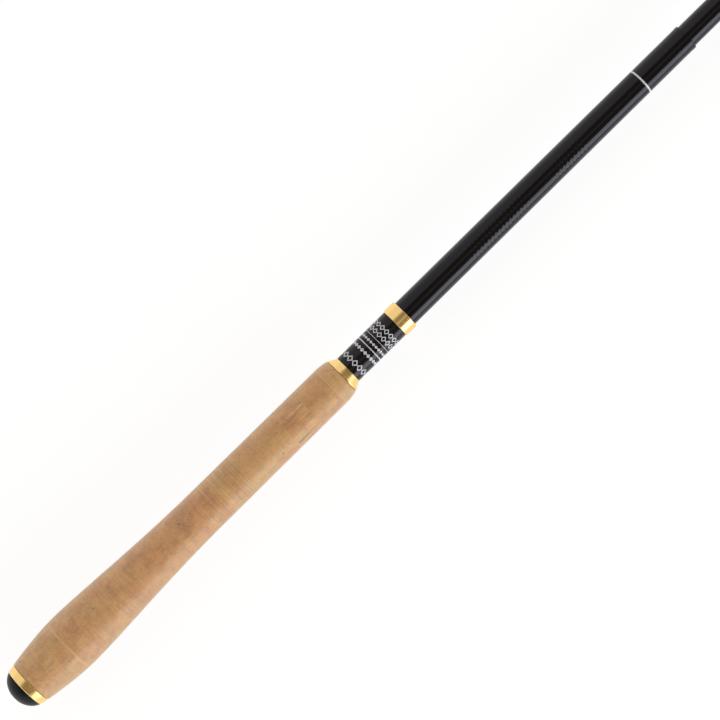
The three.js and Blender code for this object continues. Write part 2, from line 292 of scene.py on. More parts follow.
# Where the bright middle and the studio end, as the lean of a direction along X. The ends of
# the softbox are dimmer, and those of the ceiling have no glint.
MIDDLE_END = 0.3
MIDDLE_END_WIDTH = 0.1
STUDIO_END = 0.96
STUDIO_END_WIDTH = 0.03

# The floor's size and drop are in metres. Under its glow, paper of a darker shade is seen.
FLOOR_SIZE = 80
FLOOR_DROP = 0.0003
FLOOR_GLOW = 0.88
PAPER_COLOR = "#F7F7F7"
PAPER_SEEN_COLOR = "#808080"

# The camera stands nearly above the grip. Its frame is this wide at the rod. The farthest
# thing that it sees is in metres.
FRAME_WIDTH = 300.7
CAMERA_DISTANCE = 1400
CAMERA_PLACE = 162
AIM_PLACE = 201.0
AIM_SIDE = -0.6
ROD_TILT = math.radians(44.55)
SENSOR_WIDTH = 36
FARTHEST_SEEN = 100


def linear(hex_color):
    """The linear colour that an sRGB hex value stands for."""
    channels = [int(hex_color[start:start + 2], 16) / 255 for start in (1, 3, 5)]
    return [c / 12.92 if c <= 0.04045 else ((c + 0.055) / 1.055) ** 2.4 for c in channels] + [1]


def mix(low, high, share):
    return low + (high - low) * share


def handle_radius(place):
    return HANDLE_MOUTH_RADIUS + SLOPE * (HANDLE_MOUTH - place)


def grip_radius(place):
    along = place - GRIP_REAR
    shoulder_start = GRIP_LENGTH - SHOULDER_LENGTH
    if along < SWELL_PLACE:
        return mix(GRIP_BUTT_RADIUS, SWELL_RADIUS, math.sin(along / SWELL_PLACE * math.pi / 2))
    if along < SLIM_PLACE:
        share = ((along - SWELL_PLACE) / (SLIM_PLACE - SWELL_PLACE)) ** SWELL_FALL_SHARE
        return mix(SWELL_RADIUS, SLIM_RADIUS, (1 - math.cos(share * math.pi)) / 2)
    if along < shoulder_start:
        share = (along - SLIM_PLACE) / (shoulder_start - SLIM_PLACE)
        return mix(SLIM_RADIUS, FORE_GRIP_RADIUS, share)
    turn = min(1, (along - shoulder_start) / SHOULDER_LENGTH)
    return mix(FORE_GRIP_RADIUS, SHOULDER_RADIUS, turn * turn)


# Material helpers.

def add_node(tree, kind, feeds=None, **settings):
    """Adds a node with its own settings. Feeds go to its sockets, by name or number: a value,
    a socket, or a node for its first enabled output."""
    node = tree.nodes.new("ShaderNode" + kind)
    for name, value in settings.items():
        setattr(node, name, value)
    for key, value in (feeds or {}).items():
        if isinstance(key, int):
            socket = node.inputs[key]
        else:
            socket = next(s for s in node.inputs if s.enabled and s.name == key)
        if isinstance(value, bpy.types.Node):
            value = next(s for s in value.outputs if s.enabled)
        if isinstance(value, bpy.types.NodeSocket):
            tree.links.new(value, socket)
        else:
            socket.default_value = value
    return node


def new_material(name, finish):
    """A material whose finish is set straight on its shader's own sockets."""
    material = bpy.data.materials.new(name)
    material.use_nodes = True
    tree = material.node_tree
    tree.nodes.clear()
    shader = add_node(tree, "BsdfPrincipled", finish)
    add_node(tree, "OutputMaterial", {"Surface": shader})
    return material, tree, shader


def places_in(tree):
    """The row frame's own place, in millimetres."""
    source = add_node(tree, "TexCoord").outputs["Object"]
    return add_node(tree, "VectorMath", {0: source, "Scale": 1 / MM}, operation="SCALE")


def grain(tree, places, size, detail=2):
    """A soft random pattern whose grain has this length, width and height in millimetres."""
    per_grain = [1 / side for side in size]
    scaled = add_node(tree, "VectorMath", {0: places, 1: per_grain}, operation="MULTIPLY")
    feeds = {"Vector": scaled, "Scale": 1, "Detail": detail, "Roughness": GRAIN_ROUGHNESS}
    return add_node(tree, "TexNoise", feeds)


def stained(tree, color, layers):
    """Lays colours over a first one. A layer is a pattern, where its stain starts and where it
    is full, how strong it is then, and the stain's colour."""
    for pattern, start, full, strength, stain in layers:
        share = add_node(tree, "MapRange", {
            "Value": pattern, "From Min": start, "From Max": full, "To Max": strength,
        }, interpolation_type="SMOOTHSTEP")
        color = add_node(tree, "Mix", {
            "Factor": share, "A": color, "B": linear(stain),
        }, data_type="RGBA")
    return color


def paint(tree, shader, color):
    """Lets the surface's colour follow a mix of colours."""
    tree.links.new(next(s for s in color.outputs if s.enabled), shader.inputs["Base Color"])


def roughen(tree, shader, pattern, low, high):
    """Lets the roughness follow a pattern."""
    rough = add_node(tree, "MapRange", {
        "Value": pattern, "From Min": GRAIN_LOW, "From Max": GRAIN_HIGH,
        "To Min": low, "To Max": high,
    })
    tree.links.new(rough.outputs[0], shader.inputs["Roughness"])


def raised(tree, shader, reliefs):
    """Gives the surface fine relief: each pattern with its height in millimetres."""
    normal = None
    for pattern, height in reliefs:
        feeds = {"Height": pattern, "Distance": abs(height) * MM}
        if normal:
            feeds["Normal"] = normal
        normal = add_node(tree, "Bump", feeds, invert=height < 0)
    tree.links.new(normal.outputs[0], shader.inputs["Normal"])


def round_rod(tree, places):
    """The angle round the rod's axis, in radians, and the place along X, in millimetres."""
    parts = add_node(tree, "SeparateXYZ", {0: places}).outputs
    height = add_node(tree, "Math", {0: parts[2], 1: AXIS_HEIGHT}, operation="SUBTRACT")
    angle = add_node(tree, "Math", {0: height, 1: parts[1]}, operation="ARCTAN2")
    return angle, parts[0]


def cork_material():
    """Natural cork, glued in rings and sanded: dull and warm, with growth lines and pits."""
    material, tree, shader = new_material("sanded_natural_cork", {
        "IOR": 1.5,
        "Sheen Weight": 1,
        "Sheen Roughness": 0.72,
        "Sheen Tint": linear("#FFEBD6"),
    })
    marks = {
        name: add_node(tree, "Attribute", attribute_name=name).outputs["Fac"]
        for name in ("shift", "tone", "shade", "growth", "streaks", "pale", "pit")
    }
    shift = add_node(tree, "CombineXYZ", {axis: marks["shift"] for axis in range(3)})
    places = add_node(tree, "VectorMath", {0: places_in(tree), 1: shift}, operation="ADD")

    bark = grain(tree, places, (7, 9, 9), 3)
    tone = add_node(tree, "Math", {0: bark, 1: marks["tone"]}, operation="ADD")
    warm = grain(tree, places, (11, 8, 8), 3)
    shade = grain(tree, places, (4.5, 6, 6), 4)
    growth = grain(tree, places, (0.6, 14, 14))
    streaks = grain(tree, places, (17, 1.7, 1.7))
    fibre = grain(tree, places, (0.9, 0.9, 0.9), 3)
    specks = grain(tree, places, (1.1, 0.8, 0.8), 1)
    pale = add_node(tree, "Math", {0: marks["pale"], 1: shade}, operation="MULTIPLY")
    color = stained(tree, linear("#E69C56"), (
        (tone, 0.7, 1.3, 1, "#DEAA59"),
        (warm, GRAIN_MIDDLE, 0.66, 0.7, "#CF7F3A"),
        (shade, 0.35, GRAIN_HIGH, marks["shade"], "#B87539"),
        (growth, GRAIN_MIDDLE, 0.68, marks["growth"], "#EEC482"),
        (growth, GRAIN_MIDDLE, 0.34, marks["growth"], "#B07B46"),
        (streaks, 0.58, 0.66, marks["streaks"], "#F2C677"),
        (streaks, 0.42, 0.34, marks["streaks"], "#9B6935"),
        (fibre, GRAIN_MIDDLE, 0.8, 0.45, "#F0C684"),
        (fibre, GRAIN_MIDDLE, 0.25, 0.45, "#AE743C"),
        (specks, GRAIN_HIGH, 0.77, 0.4, "#8F643C"),
        (pale, 0, 0.6, 0.8, "#F4C87C"),
        (marks["pit"], 0.05, 0.8, 0.8, "#835B37"),
    ))
    paint(tree, shader, color)
    roughen(tree, shader, fibre, 0.33, 0.47)
    raised(tree, shader, ((grain(tree, places, (0.35, 0.35, 0.35), 3), 0.03), (specks, -0.1)))
    return material


def gold_material():
    """Gold anodised aluminium, turned and polished: a warm mirror with faint lathe marks."""
    material, tree, shader = new_material("polished_gold_anodised_aluminium", {
        "Base Color": linear("#FFD98F"),
        "Metallic": 1,
    })
    marks = grain(tree, places_in(tree), (0.12, 6, 6))
    roughen(tree, shader, marks, 0.2, 0.3)
    raised(tree, shader, ((marks, 0.006),))
    return material


def lacquer_material(name="black_gloss_lacquer_on_carbon"):
    """Black lacquer over carbon: deep gloss, with the tape wound under it just showing."""
    material, tree, shader = new_material(name, {
        "Base Color": linear("#07080B"),
        "IOR": 1.5,
        "Roughness": 0.15,
        "Specular Tint": linear("#D0C8D2"),
    })
    places = places_in(tree)
    angle, along = round_rod(tree, places)
    lean = add_node(tree, "Math", {
        0: along, 1: FULL_TURN / TAPE_SPACING,
    }, operation="MULTIPLY")
    rising = add_node(tree, "Math", {
        0: angle, 1: TAPE_STRANDS, 2: lean,
    }, operation="MULTIPLY_ADD")
    falling = add_node(tree, "Math", {
        0: angle, 1: -TAPE_STRANDS, 2: lean,
    }, operation="MULTIPLY_ADD")
    over = add_node(tree, "Math", {0: rising}, operation="SINE")
    under = add_node(tree, "Math", {0: falling}, operation="SINE")
    tape = add_node(tree, "Math", {
        0: under, 1: TAPE_UNDER_SHARE, 2: over,
    }, operation="MULTIPLY_ADD")
    reliefs = [(grain(tree, places, (22, 5, 5)), 0.03)]
    for middle, reach in TAPE_STRETCHES:
        away = add_node(tree, "Math", {
            0: along, 1: middle - OVERALL_LENGTH / 2,
        }, operation="SUBTRACT")
        away = add_node(tree, "Math", {0: away}, operation="ABSOLUTE")
        shown = add_node(tree, "MapRange", {
            "Value": away, "From Min": reach, "From Max": TAPE_FULL_SHARE * reach,
        }, interpolation_type="SMOOTHSTEP")
        shown = add_node(tree, "Math", {0: tape, 1: shown}, operation="MULTIPLY")
        reliefs.append((shown, TAPE_RELIEF))
    raised(tree, shader, reliefs)
    return material, tree, shader


def lozenge_row(tree, angle, along, place, half_height, count, line_share, turn):
    """A row of small outlined lozenges round the rod: 1 on their lines and 0 elsewhere."""
    turns = add_node(tree, "Math", {
        0: angle, 1: count / FULL_TURN, 2: turn,
    }, operation="MULTIPLY_ADD")
    around = add_node(tree, "Math", {0: turns}, operation="FRACT")
    around = add_node(tree, "Math", {0: around, 1: 0.5}, operation="SUBTRACT")
    around = add_node(tree, "Math", {0: around}, operation="ABSOLUTE")
    up = add_node(tree, "Math", {
        0: along, 1: place - OVERALL_LENGTH / 2,
    }, operation="SUBTRACT")
    up = add_node(tree, "Math", {0: up}, operation="ABSOLUTE")
    up = add_node(tree, "Math", {0: up, 1: half_height}, operation="DIVIDE")
    reach = add_node(tree, "Math", {0: around, 1: 2, 2: up}, operation="MULTIPLY_ADD")
    return add_node(tree, "Math", {0: reach, 1: 1 - line_share, 2: line_share}, operation="COMPARE")


def sleeve_material():
    """A lacquered paper sleeve: gloss black, printed with fine lines in silver."""
    material, tree, shader = lacquer_material("black_lacquered_sleeve_with_silver_print")
    places = places_in(tree)
    angle, along = round_rod(tree, places)
    marks = [
        add_node(tree, "Math", {
            0: along, 1: place - OVERALL_LENGTH / 2, 2: width / 2,
        }, operation="COMPARE")
        for place, width in SLEEVE_LINES
    ]
    marks += [lozenge_row(tree, angle, along, *row) for row in SLEEVE_ROWS]
    print_lines = marks[0]
    for printed in marks[1:]:
        print_lines = add_node(tree, "Math", {0: print_lines, 1: printed}, operation="MAXIMUM")
    wear = add_node(tree, "MapRange", {
        "Value": grain(tree, places, (0.5, 0.5, 0.5)),
        "From Min": GRAIN_LOW, "From Max": GRAIN_MIDDLE, "To Min": WORN_PRINT_SHARE,
    })
    print_lines = add_node(tree, "Math", {0: print_lines, 1: wear}, operation="MULTIPLY")
    color = stained(tree, linear("#131315"), ((print_lines, 0, 1, 1, "#E6E7EA"),))
    paint(tree, shader, color)
    return material


def enamel_material():
    """White enamel, painted round the blank under the clear coat."""
    material, tree, shader = new_material("white_gloss_enamel", {"IOR": 1.5, "Roughness": 0.2})
    cloud = grain(tree, places_in(tree), (1.5, 1.5, 1.5))
    color = stained(tree, linear("#DCDCE0"), ((cloud, GRAIN_LOW, GRAIN_HIGH, 1, "#F2F2F4"),))
    paint(tree, shader, color)
    return material


def cap_material():
    """Black moulded ABS: satin, with the fine grain of the mould."""
    material, tree, shader = new_material("black_moulded_abs", {
        "Base Color": linear("#121214"),
        "IOR": 1.5,
        "Specular IOR Level": 0.18,
    })
    texture = grain(tree, places_in(tree), (0.3, 0.3, 0.3), 3)
    roughen(tree, shader, texture, 0.34, 0.46)
    raised(tree, shader, ((texture, 0.02),))
    return material


def rubber_material():
    """Black nitrile rubber: matt, with a slight bloom."""
    material, tree, shader = new_material("black_nitrile_rubber", {"IOR": 1.52, "Roughness": 0.6})
    bloom = grain(tree, places_in(tree), (1, 1, 1), 3)
    color = stained(tree, linear("#121212"), ((bloom, GRAIN_LOW, GRAIN_HIGH, 1, "#242426"),))
    paint(tree, shader, color)
    raised(tree, shader, ((bloom, 0.01),))
    return material


def foam_material():
    """Closed-cell EVA foam: charcoal and matt, with small round cells, their hollows painted darker
    as shade.
    """
    material, tree, shader = new_material("charcoal_closed_cell_foam", {
        "IOR": 1.45, "Roughness": 0.9,
    })
    cells = add_node(tree, "TexVoronoi", {
        "Vector": places_in(tree), "Scale": 1 / FOAM_CELL_SIZE,
    }).outputs["Distance"]
    # Painted shade: each cell is darker in its hollow and paler on its raised walls, following the
    # same pattern as the bump.
    color = stained(tree, linear("#2A2A2C"), ((cells, 0.1, 0.6, 1, "#4A4A4D"),))
    paint(tree, shader, color)
    raised(tree, shader, ((cells, 0.06),))
    return material


def machined_material(name, hex_color):
    """Bare machined metal: bright, with the fine rings that the lathe leaves."""
    material, tree, shader = new_material(name, {"Base Color": linear(hex_color), "Metallic": 1})
    marks = grain(tree, places_in(tree), (0.15, 5, 5))
    roughen(tree, shader, marks, 0.2, 0.36)
    raised(tree, shader, ((marks, 0.006),))
    return material


# Mesh helpers.

def softened(outline, radius, closed=True):
    """Rounds the sharp corners of an outline. An open one keeps its two ends."""
    rounded = []
    count = len(outline)
    for index, point in enumerate(outline):
        corner = Vector(point)
        back = Vector(outline[index - 1]) - corner
        onward = Vector(outline[(index + 1) % count]) - corner
        is_end = not closed and index in (0, count - 1)
        turn = 0 if is_end else math.pi - back.angle(onward)
        if turn < SOFTENED_TURN:
            rounded.append(tuple(point))
            continue
        longest = SOFTENED_SIDE_SHARE * min(back.length, onward.length)
        cut = min(radius * math.tan(turn / 2), longest)
        start = corner + back.normalized() * cut
        end = corner + onward.normalized() * cut
        for step in range(SOFTENED_STEPS + 1):
            share = step / SOFTENED_STEPS
            bent = start.lerp(corner, share).lerp(corner.lerp(end, share), share)
            rounded.append(tuple(bent))
    return rounded


def steps_between(low, high, size):
    count = max(1, round(abs(high - low) / size))
    return [mix(low, high, step / count) for step in range(count + 1)]


def turned(name, outline, sides, closed=True, relief=None):
    """Turns an outline of (place, radius) points about the rod's axis. It runs forward along
    the outside and back along the bore, or starts and ends on the axis. Where the piece isn't
    round, relief(place, angle, radius) gives the radius."""
    vertices = []
    hoops = []
    for place, radius in outline:
        first = len(vertices)
        corners = sides if radius else 1
        for side in range(corners):
            angle = FULL_TURN * side / sides
            reach = relief(place, angle, radius) if relief else radius
            x = place - OVERALL_LENGTH / 2
            y = reach * math.cos(angle)
            z = AXIS_HEIGHT + reach * math.sin(angle)
            vertices.append((x * MM, y * MM, z * MM))
        hoops.append(range(first, first + corners))
    pairs = list(zip(hoops, hoops[1:]))
    if closed:
        pairs.append((hoops[-1], hoops[0]))
    faces = []
    for rear, front in pairs:
        for side in range(sides):
            after = (side + 1) % sides
            loop = (
                rear[side % len(rear)], rear[after % len(rear)],
                front[after % len(front)], front[side % len(front)],
            )
            faces.append(tuple(dict.fromkeys(loop)))
    mesh = bpy.data.meshes.new(name)
    mesh.from_pydata(vertices, [], faces)
    return new_piece(name, mesh)


def new_piece(name, mesh):
    mesh.shade_smooth()
    mesh.set_sharp_from_angle(angle=SHARP_ANGLE)
    piece = bpy.data.objects.new(name, mesh)
    scene.collection.objects.link(piece)
    return piece


def place_of(point):
    """The place along the rod, the angle round it and the radius, of a point in metres."""
    height = point.z / MM - AXIS_HEIGHT
    side = point.y / MM
    return point.x / MM + OVERALL_LENGTH / 2, math.atan2(height, side), math.hypot(height, side)


def mark(piece, name, values):
    """Gives each point of a piece a value, which its material reads by name."""
    attribute = piece.data.attributes.new(name, "FLOAT", "POINT")
    attribute.data.foreach_set("value", values)


def fit(piece, node, body, slot, *materials):
    """Puts a piece in a CAD node's stead, on its body and with its finish."""
    for material in materials:
        piece.data.materials.append(material)
    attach(piece, body)
    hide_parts(node)
    return piece


# The butt cap, its seal and its cushion.

def thread_height(place, angle, side_gap=0):
    """How full the screw thread is at a point: 1 on its crest and 0 on its root."""
    turns = (place - THREAD_START) / THREAD_PITCH - angle / FULL_TURN + THREAD_PHASE_SHARE
    offset = abs(turns - round(turns)) * THREAD_PITCH
    crest = THREAD_CREST_WIDTH / 2 + side_gap
    root = THREAD_ROOT_WIDTH / 2 + side_gap
    return min(1, max(0, (root - offset) / (root - crest)))


def spigot_thread(place, angle, radius):
    if not THREAD_START - THREAD_PITCH < place < SPIGOT_FRONT:
        return radius
    if radius < SPIGOT_RADIUS - SAME_RADIUS:
        return radius
    run = min(place - THREAD_START + THREAD_PITCH / 2, THREAD_FRONT + THREAD_PITCH / 2 - place)
    rise = min(1, max(0, run / (THREAD_PITCH * THREAD_LEAD_SHARE)))
    return radius + THREAD_DEPTH * rise * thread_height(place, angle)


def make_cap():
    middle = DOME_DEPTH * math.sqrt(1 - (DOME_FLAT_RADIUS / DOME_RADIUS) ** 2)
    first = math.asin(DOME_FLAT_RADIUS / DOME_RADIUS)
    last = math.acos((middle - DOME_LENGTH) / DOME_DEPTH)
    dome = [(0, DOME_FLAT_RADIUS * share) for share in DOME_FLAT_SHARES]
    for angle in steps_between(first, last, DOME_STEP)[1:]:
        dome.append((middle - DOME_DEPTH * math.cos(angle), DOME_RADIUS * math.sin(angle)))
    seat = SPIGOT_FRONT - CUSHION_SEAT_DEPTH
    shank = [(place, SPIGOT_RADIUS) for place in steps_between(
        DOME_LENGTH, SPIGOT_FRONT - SPIGOT_CHAMFER, THREAD_ROW)]
    nose = [
        (SPIGOT_FRONT, SPIGOT_RADIUS - SPIGOT_CHAMFER),
        (SPIGOT_FRONT, CUSHION_SEAT_RADIUS),
        (seat, CUSHION_SEAT_RADIUS),
        (seat, 0),
    ]
    outline = softened(dome + shank + nose, EDGE_ROUND, closed=False)
    cap = turned("butt_cap_domed", outline, RING_SIDES, closed=False, relief=spigot_thread)
    cut_coin_slot(cap)
    fit(cap, "butt_cap", "cap", "cap_black", cap_material())


def cut_coin_slot(cap):
    """Cuts the slot across the dome, with a softened floor."""
    half = COIN_SLOT_WIDTH / 2
    outline = softened([
        (-SLOT_CUTTER_MARGIN, -half),
        (COIN_SLOT_DEPTH, -half),
        (COIN_SLOT_DEPTH, half),
        (-SLOT_CUTTER_MARGIN, half),
    ], SLOT_ROUND)
    reach = DOME_RADIUS + SLOT_CUTTER_MARGIN
    vertices = []
    for side in (reach, -reach):
        for place, height in outline:
            x = place - OVERALL_LENGTH / 2
            vertices.append((x * MM, side * MM, (AXIS_HEIGHT + height) * MM))
    count = len(outline)
    faces = [tuple(range(count))[::-1], tuple(range(count, 2 * count))]
    for near in range(count):
        after = (near + 1) % count
        faces.append((near, after, after + count, near + count))
    mesh = bpy.data.meshes.new("coin_slot_cutter")
    mesh.from_pydata(vertices, [], faces)
    cutter = bpy.data.objects.new("coin_slot_cutter", mesh)
    scene.collection.objects.link(cutter)
    change = cap.modifiers.new("coin_slot", "BOOLEAN")
    change.operation = "DIFFERENCE"
    change.solver = "EXACT"
    change.object = cutter
    depsgraph = bpy.context.evaluated_depsgraph_get()
    cap.data = bpy.data.meshes.new_from_object(cap.evaluated_get(depsgraph))
    cap.modifiers.clear()
    bpy.data.objects.remove(cutter)
    cap.data.shade_smooth()
    cap.data.set_sharp_from_angle(angle=CUT_SHARP_ANGLE)


def make_seal():
    wire = []
    for step in range(SEAL_STEPS):
        angle = FULL_TURN * step / SEAL_STEPS
        place = SEAL_PLACE + SEAL_WIRE_RADIUS * math.sin(angle)
        wire.append((place, SEAL_MIDDLE + SEAL_WIRE_RADIUS * math.cos(angle)))
    seal = turned("butt_cap_o_ring", wire, RING_SIDES)
    fit(seal, "cap_seal", "seal", "seal_rubber", rubber_material())


def make_cushion():
    """The foam disc is crowned in front and drawn in a little round its middle."""
    waist = (CUSHION_REAR + CUSHION_FRONT) / 2
    outline = [
        (CUSHION_REAR, 0),
        (CUSHION_REAR, CUSHION_RADIUS - CUSHION_REAR_BEVEL),
        (CUSHION_REAR + CUSHION_REAR_BEVEL, CUSHION_RADIUS),
        (waist, CUSHION_RADIUS - CUSHION_WAIST),
        (CUSHION_FRONT - CUSHION_CROWN - CUSHION_FRONT_BEVEL_LENGTH, CUSHION_RADIUS),
    ]
    for radius in steps_between(CUSHION_RADIUS - CUSHION_FRONT_BEVEL_DEPTH, 0, CUSHION_ROW):
        drop = CUSHION_CROWN * (radius / CUSHION_RADIUS) ** 2
        outline.append((CUSHION_FRONT - drop, radius))
    cushion = turned("section_stop_cushion", outline, RING_SIDES, closed=False)
    fit(cushion, "cap_cushion", "cap", "cushion_foam", foam_material())


# The rings that close the grip, and the insert that the cap screws into.

def make_butt_ring(gold):
    outline = softened([
        (BUTT_RING_REAR, BUTT_RING_REAR_RADIUS - BUTT_RING_CHAMFER),
        (BUTT_RING_REAR + BUTT_RING_CHAMFER, BUTT_RING_REAR_RADIUS),
        (BUTT_RING_FRONT - BUTT_RING_CHAMFER, BUTT_RING_FRONT_RADIUS),
        (BUTT_RING_FRONT, BUTT_RING_FRONT_RADIUS - BUTT_RING_CHAMFER),
        (BUTT_RING_FRONT, BUTT_RING_BORE),
        (BUTT_RING_REAR, BUTT_RING_BORE),
    ], METAL_ROUND)
    fit(turned("grip_butt_ring", outline, RING_SIDES), "butt_ring", "root", "gold_metal", gold)


def insert_thread(place, angle, radius):
    if radius > INSERT_BORE + SAME_RADIUS or place > INSERT_LIP_REAR - THREAD_ROOT_WIDTH:
        return radius
    height = thread_height(place, angle, THREAD_SIDE_GAP)
    return radius + (INSERT_GROOVE - INSERT_BORE) * height


def make_insert():
    socket = handle_radius(INSERT_LIP_FRONT) + GLUE_GAP
    outline = softened([
        (INSERT_REAR, INSERT_RADIUS),
        (INSERT_FRONT, INSERT_RADIUS),
        (INSERT_FRONT, socket),
        (INSERT_LIP_FRONT, socket),
        (INSERT_LIP_FRONT, INSERT_LIP_RADIUS),
        (INSERT_LIP_REAR, INSERT_LIP_RADIUS),
    ], METAL_ROUND, closed=False)
    bore = steps_between(INSERT_LIP_REAR, INSERT_REAR, THREAD_ROW)
    outline += [(place, INSERT_BORE) for place in bore]
    insert = turned("threaded_butt_insert", outline, RING_SIDES, relief=insert_thread)
    silver = machined_material("bare_turned_aluminium", "#C9CBCE")
    fit(insert, "thread_insert", "root", "insert_metal", silver)


def make_check(gold):
    outline = softened([
        (CHECK_REAR, CHECK_REAR_RADIUS - RING_CHAMFER),
        (CHECK_REAR + RING_CHAMFER, CHECK_REAR_RADIUS),
        (CHECK_REAR + CHECK_RIM_LENGTH, CHECK_REAR_RADIUS),
        (CHECK_FRONT - CHECK_LIP_LENGTH, CHECK_FRONT_RADIUS),
        (CHECK_FRONT, CHECK_FRONT_RADIUS - RING_CHAMFER),
        (CHECK_FRONT, handle_radius(CHECK_FRONT) + GLUE_GAP),
        (CHECK_REAR, handle_radius(CHECK_REAR) + GLUE_GAP),
    ], METAL_ROUND)
    fit(turned("winding_check", outline, RING_SIDES), "front_check", "root", "gold_metal", gold)


def make_sleeve():
    outline = softened([
        (SLEEVE_REAR, SLEEVE_RADIUS),
        (SLEEVE_FRONT, SLEEVE_RADIUS),
        (SLEEVE_FRONT, SLEEVE_BORE),
        (SLEEVE_REAR, SLEEVE_BORE),
    ], METAL_ROUND)
    sleeve = turned("printed_sleeve", outline, RING_SIDES)
    fit(sleeve, "label_sleeve", "root", "sleeve_lacquer", sleeve_material())


def make_trim_ring(gold):
    outline = softened([
        (TRIM_RING_REAR, TRIM_RING_RADIUS - RING_CHAMFER),
        (TRIM_RING_REAR + RING_CHAMFER, TRIM_RING_RADIUS),
        (TRIM_RING_FRONT - RING_CHAMFER, TRIM_RING_RADIUS),
        (TRIM_RING_FRONT, TRIM_RING_RADIUS - RING_CHAMFER),
        (TRIM_RING_FRONT, TRIM_RING_BORE),
        (TRIM_RING_REAR, TRIM_RING_BORE),
    ], METAL_ROUND)
    fit(turned("broad_trim_ring", outline, RING_SIDES), "trim_ring", "root", "gold_metal", gold)


# The cork grip.

def pits_between(rear, front, chance):
    """The pits of one ring: the plain ones, and small ones anywhere round it."""
    pits = [pit for pit in PLAIN_PITS if rear < pit[0] < front]
    for _ in range(PITS_PER_RING):
        length = chance.uniform(*PIT_LENGTHS)
        width = chance.uniform(*PIT_WIDTHS)
        depth = chance.uniform(*PIT_DEPTHS)
        pits.append((chance.uniform(rear, front), chance.uniform(0, 360), length, width, depth))
    return pits


def pit_depth(pits, place, angle, radius):
    deepest = 0
    for middle, turn, length, width, depth in pits:
        around = (angle - math.radians(turn) + math.pi) % FULL_TURN - math.pi
        reach = math.hypot((place - middle) / length, around * radius / width)
        if reach < 1:
            deepest = max(deepest, depth * (1 - reach * reach) ** 2)
    return deepest


def make_cork_ring(number, rear, front, cork, chance):
    name = f"cork_ring_{number:02d}"
    pits = pits_between(rear, front, chance)
    shift = chance.uniform(*CORK_SHIFTS)
    inside = INSERT_RADIUS if front <= FIRST_JOINT else handle_radius(rear)
    bore = inside + GLUE_GAP

    def relief(place, angle, radius):
        if radius == bore:
            return bore
        spot = Vector((place, radius * math.cos(angle), radius * math.sin(angle)))
        rise = noise.noise(spot / CORK_UNEVEN_LENGTH + Vector((shift, 0, 0)))
        uneven = CORK_UNEVENNESS * (1 + rise) / 2
        return radius - uneven - pit_depth(pits, place, angle, radius)

    rows = steps_between(rear + CORK_EDGE_LENGTH, front - CORK_EDGE_LENGTH, CORK_ROW)
    outline = [(rear, grip_radius(rear) - CORK_EDGE_DROP)]
    outline += [(place, grip_radius(place)) for place in rows]
    outline += [(front, grip_radius(front) - CORK_EDGE_DROP), (front, bore), (rear, bore)]
    ring = turned(f"{name}_sanded", outline, GRIP_SIDES, relief=relief)

    spots = [place_of(vertex.co) for vertex in ring.data.vertices]
    ends = [(joint, FAINT_GLUE_WIDTH, FAINT_GLUE_SHARE) for joint in (rear, front)]
    pale = [
        max(share * (1 - abs(place - middle) / width) for middle, width, share in PALE_LINES + ends)
        for place, _, _ in spots
    ]
    depths = [pit_depth(pits, *spot) / DEEP_PIT for spot in spots]
    mark(ring, "pale", [max(0, value) for value in pale])
    mark(ring, "pit", depths)
    tone, shade, growth, streaks = CORK_LOOK_SHARES[number - 1]
    for value_name, value in (
        ("shift", shift), ("tone", tone), ("shade", shade), ("growth", growth),
        ("streaks", streaks),
    ):
        mark(ring, value_name, [value] * len(spots))
    fit(ring, name, "root", "cork", cork)


def make_grip():
    cork = cork_material()
    chance = random.Random(PIT_SEED)
    joints = [GRIP_REAR + GLUE_GAP]
    joints += [FIRST_JOINT + CORK_RING_LENGTH * step for step in range(CORK_RING_COUNT - 1)]
    joints.append(GRIP_FRONT)
    for number in range(1, CORK_RING_COUNT + 1):
        rear = joints[number - 1] + JOINT_GAP / 2
        front = joints[number] - JOINT_GAP / 2
        make_cork_ring(number, rear, front, cork, chance)


# The blank, the sections inside it, and the socket on the tip.

def make_handle_blank(lacquer):
    bead = MOUTH_BEAD_LENGTH / 2
    band = (PAINTED_BAND_REAR, PAINTED_BAND_FRONT)
    outline = [(place, handle_radius(place)) for place in steps_between(
        HANDLE_BUTT, band[0], TUBE_ROW)]
    outline += [(place, handle_radius(place) + PAINT_THICKNESS) for place in (
        band[0] + PAINT_THICKNESS, band[1] - PAINT_THICKNESS)]
    outline += [(place, handle_radius(place)) for place in steps_between(
        band[1], HANDLE_MOUTH - 2 * bead, TUBE_ROW)]
    for turn in steps_between(0, math.pi, math.pi / BEAD_STEPS)[1:]:
        place = HANDLE_MOUTH - bead - bead * math.cos(turn)
        outline.append((place, handle_radius(place) + MOUTH_BEAD_HEIGHT * math.sin(turn)))
    outline += [
        (HANDLE_MOUTH, handle_radius(HANDLE_MOUTH) - HANDLE_WALL),
        (HANDLE_BUTT, handle_radius(HANDLE_BUTT) - HANDLE_WALL),
    ]
    blank = turned("handle_blank_lacquered", softened(outline, EDGE_ROUND), BLANK_SIDES)
    fit(blank, "handle_blank", "root", "blank_lacquer", lacquer, enamel_material())
    for face in blank.data.polygons:
        place, _, radius = place_of(face.center)
        outside = radius > handle_radius(place) - HANDLE_WALL / 2
        if outside and band[0] < place < band[1]:
            face.material_index = 1


